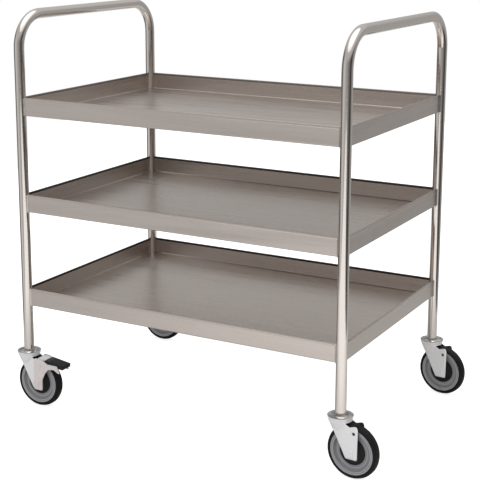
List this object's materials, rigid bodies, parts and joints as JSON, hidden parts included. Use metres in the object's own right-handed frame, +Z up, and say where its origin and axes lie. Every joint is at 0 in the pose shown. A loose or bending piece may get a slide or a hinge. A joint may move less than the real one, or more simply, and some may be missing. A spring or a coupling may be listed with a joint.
{
  "type": "shelf trolley",
  "caption": "Stainless steel shelf trolley with bent-tube end frames as push handles, folded trays with raised walls, and swivel castors with pedal brakes.",
  "frame": {"origin": "on the floor, in the middle of the footprint of frame and castors", "axes": "+X along the long side towards the right end, +Y to the back, +Z up"},
  "size_m": [0.986, 0.6288, 0.989],
  "materials": {
    "tube_steel": "polished stainless tube",
    "tray_steel": "brushed stainless sheet",
    "zinc_plate": "bright zinc plate",
    "plain_steel": "plain turned steel",
    "wheel_plastic": "moulded grey plastic",
    "black_plastic": "moulded black plastic",
    "sleeve_plastic": "moulded plastic",
    "tyre_rubber": "black rubber"
  },
  "bodies": {
    "trolley_frame": {"end_frame_left": "tube_steel", "end_frame_right": "tube_steel", "bottom_tray": "tray_steel", "bottom_stiffener": "tray_steel", "middle_tray": "tray_steel", "middle_stiffener": "tray_steel", "top_tray": "tray_steel", "top_stiffener": "tray_steel", "swivel_plates": "zinc_plate", "leg_sleeves": "sleeve_plastic", "stem_bolts": "plain_steel"},
    "fork_front_left": {"fork_front_left": "zinc_plate", "race_ring_front_left": "plain_steel", "axle_front_left": "zinc_plate", "axle_bush_front_left": "plain_steel", "brake_cheeks_front_left": "zinc_plate", "brake_rivets_front_left": "zinc_plate"},
    "wheel_front_left": {"wheel_centre_front_left": "wheel_plastic", "tyre_front_left": "tyre_rubber", "thread_guards_front_left": "black_plastic"},
    "brake_front_left": {"brake_lever_front_left": "zinc_plate", "brake_shoe_front_left": "black_plastic", "brake_pedal_front_left": "black_plastic"},
    "fork_front_right": {"fork_front_right": "zinc_plate", "race_ring_front_right": "plain_steel", "axle_front_right": "zinc_plate", "axle_bush_front_right": "plain_steel"},
    "wheel_front_right": {"wheel_centre_front_right": "wheel_plastic", "tyre_front_right": "tyre_rubber", "thread_guards_front_right": "black_plastic"},
    "fork_back_left": {"fork_back_left": "zinc_plate", "race_ring_back_left": "plain_steel", "axle_back_left": "zinc_plate", "axle_bush_back_left": "plain_steel", "brake_cheeks_back_left": "zinc_plate", "brake_rivets_back_left": "zinc_plate"},
    "wheel_back_left": {"wheel_centre_back_left": "wheel_plastic", "tyre_back_left": "tyre_rubber", "thread_guards_back_left": "black_plastic"},
    "brake_back_left": {"brake_lever_back_left": "zinc_plate", "brake_shoe_back_left": "black_plastic", "brake_pedal_back_left": "black_plastic"},
    "fork_back_right": {"fork_back_right": "zinc_plate", "race_ring_back_right": "plain_steel", "axle_back_right": "zinc_plate", "axle_bush_back_right": "plain_steel"},
    "wheel_back_right": {"wheel_centre_back_right": "wheel_plastic", "tyre_back_right": "tyre_rubber", "thread_guards_back_right": "black_plastic"}
  },
  "joints": [
    {"name": "swivel_front_left", "type": "hinge", "parent": "trolley_frame", "child": "fork_front_left", "pos_m": [-0.4635, -0.285, 0.131], "axis": [0, 0, 1], "continuous": true},
    {"name": "roll_front_left", "type": "hinge", "parent": "fork_front_left", "child": "wheel_front_left", "pos_m": [-0.4295, -0.285, 0.0625], "axis": [0, 1, 0], "continuous": true},
    {"name": "brake_front_left", "type": "hinge", "parent": "fork_front_left", "child": "brake_front_left", "pos_m": [-0.421, -0.285, 0.109], "axis": [0, 1, 0], "range_deg": [0, 12]},
    {"name": "swivel_front_right", "type": "hinge", "parent": "trolley_frame", "child": "fork_front_right", "pos_m": [0.3965, -0.285, 0.131], "axis": [0, 0, 1], "continuous": true},
    {"name": "roll_front_right", "type": "hinge", "parent": "fork_front_right", "child": "wheel_front_right", "pos_m": [0.43037, -0.28796, 0.0625], "axis": [0.0872, 0.9962, 0], "continuous": true},
    {"name": "swivel_back_left", "type": "hinge", "parent": "trolley_frame", "child": "fork_back_left", "pos_m": [-0.4635, 0.285, 0.131], "axis": [0, 0, 1], "continuous": true},
    {"name": "roll_back_left", "type": "hinge", "parent": "fork_back_left", "child": "wheel_back_left", "pos_m": [-0.4295, 0.285, 0.0625], "axis": [0, 1, 0], "continuous": true},
    {"name": "brake_back_left", "type": "hinge", "parent": "fork_back_left", "child": "brake_back_left", "pos_m": [-0.421, 0.285, 0.109], "axis": [0, 1, 0], "range_deg": [0, 12]},
    {"name": "swivel_back_right", "type": "hinge", "parent": "trolley_frame", "child": "fork_back_right", "pos_m": [0.3965, 0.285, 0.131], "axis": [0, 0, 1], "continuous": true},
    {"name": "roll_back_right", "type": "hinge", "parent": "fork_back_right", "child": "wheel_back_right", "pos_m": [0.43008, 0.27968, 0.0625], "axis": [0.1564, 0.9877, 0], "continuous": true}
  ]
}
